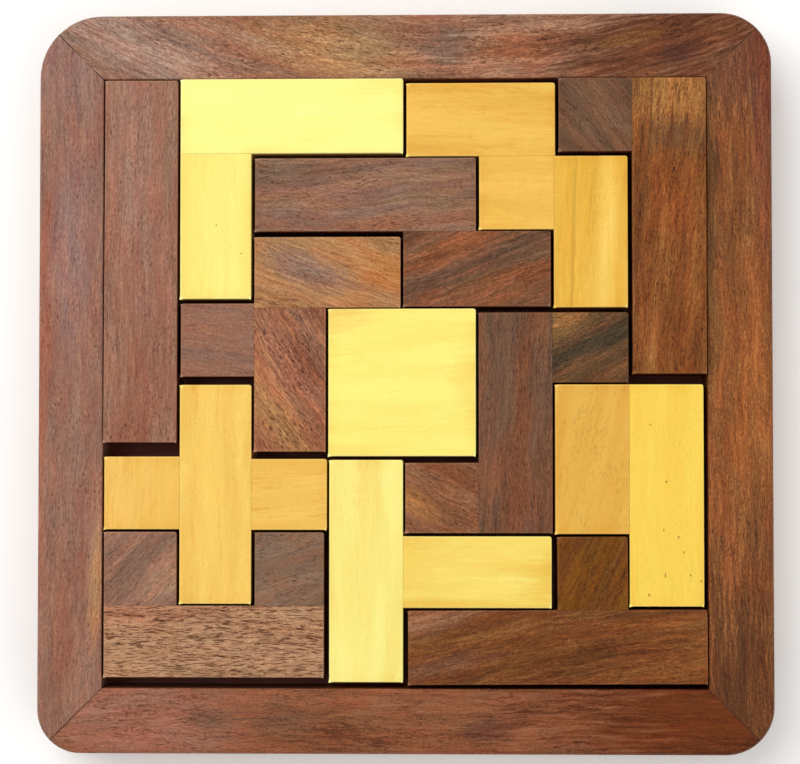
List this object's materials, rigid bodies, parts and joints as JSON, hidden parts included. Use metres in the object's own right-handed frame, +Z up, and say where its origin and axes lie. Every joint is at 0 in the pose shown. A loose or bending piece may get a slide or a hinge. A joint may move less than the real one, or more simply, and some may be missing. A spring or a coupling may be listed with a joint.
{
  "type": "pentomino tray puzzle",
  "caption": "Mitred square wooden tray filled edge to edge by loose pieces, each glued up from square-section blocks of dark and pale wood; every piece lifts out.",
  "frame": {"origin": "middle of the tray's underside", "axes": "+Z up out of the tray, +Y to the back rail, +X to the right rail"},
  "size_m": [0.1518, 0.153, 0.0175],
  "materials": {
    "rosewood_rails": "satin oiled rosewood, straight and wavy grain along each rail",
    "dark_panel": "plain dark-stained plywood",
    "rosewood_blocks": "satin oiled rosewood, each block cut with its own grain",
    "yellow_wood": "satin fine-grained yellow hardwood",
    "tan_wood": "satin straight-grained tan hardwood"
  },
  "bodies": {
    "tray": {"rail_back": "rosewood_rails", "rail_front": "rosewood_rails", "rail_left": "rosewood_rails", "rail_right": "rosewood_rails", "base_panel": "dark_panel"},
    "i_piece": {"i_bar": "rosewood_blocks"},
    "v_piece": {"v_bar": "yellow_wood", "v_leg": "yellow_wood"},
    "w_piece": {"w_bar": "tan_wood", "w_middle": "tan_wood", "w_leg": "tan_wood"},
    "l_piece": {"l_foot": "rosewood_blocks", "l_bar": "rosewood_blocks"},
    "n_piece": {"n_bar": "rosewood_blocks", "n_end": "rosewood_blocks"},
    "f_piece": {"f_bar": "rosewood_blocks", "f_leg": "rosewood_blocks", "f_arm": "rosewood_blocks"},
    "square_piece": {"square_block": "yellow_wood"},
    "z_piece": {"z_bar": "rosewood_blocks", "z_back_arm": "rosewood_blocks", "z_front_arm": "rosewood_blocks"},
    "x_piece": {"x_bar": "tan_wood", "x_left_arm": "tan_wood", "x_right_arm": "tan_wood"},
    "p_piece": {"p_bar": "yellow_wood", "p_side": "tan_wood"},
    "t_piece": {"t_bar": "yellow_wood", "t_stem": "yellow_wood"},
    "u_piece": {"u_bar": "rosewood_blocks", "u_left_prong": "rosewood_blocks", "u_right_prong": "rosewood_blocks"},
    "y_piece": {"y_bar": "rosewood_blocks", "y_arm": "rosewood_blocks"}
  },
  "joints": [
    {"name": "i_piece_lift", "type": "slide", "parent": "tray", "child": "i_piece", "axis": [0, 0, 1], "range_m": [0, 0.03]},
    {"name": "v_piece_lift", "type": "slide", "parent": "tray", "child": "v_piece", "axis": [0, 0, 1], "range_m": [0, 0.03]},
    {"name": "w_piece_lift", "type": "slide", "parent": "tray", "child": "w_piece", "axis": [0, 0, 1], "range_m": [0, 0.03]},
    {"name": "l_piece_lift", "type": "slide", "parent": "tray", "child": "l_piece", "axis": [0, 0, 1], "range_m": [0, 0.03]},
    {"name": "n_piece_lift", "type": "slide", "parent": "tray", "child": "n_piece", "axis": [0, 0, 1], "range_m": [0, 0.03]},
    {"name": "f_piece_lift", "type": "slide", "parent": "tray", "child": "f_piece", "axis": [0, 0, 1], "range_m": [0, 0.03]},
    {"name": "square_piece_lift", "type": "slide", "parent": "tray", "child": "square_piece", "axis": [0, 0, 1], "range_m": [0, 0.03]},
    {"name": "z_piece_lift", "type": "slide", "parent": "tray", "child": "z_piece", "axis": [0, 0, 1], "range_m": [0, 0.03]},
    {"name": "x_piece_lift", "type": "slide", "parent": "tray", "child": "x_piece", "axis": [0, 0, 1], "range_m": [0, 0.03]},
    {"name": "p_piece_lift", "type": "slide", "parent": "tray", "child": "p_piece", "axis": [0, 0, 1], "range_m": [0, 0.03]},
    {"name": "t_piece_lift", "type": "slide", "parent": "tray", "child": "t_piece", "axis": [0, 0, 1], "range_m": [0, 0.03]},
    {"name": "u_piece_lift", "type": "slide", "parent": "tray", "child": "u_piece", "axis": [0, 0, 1], "range_m": [0, 0.03]},
    {"name": "y_piece_lift", "type": "slide", "parent": "tray", "child": "y_piece", "axis": [0, 0, 1], "range_m": [0, 0.03]}
  ]
}
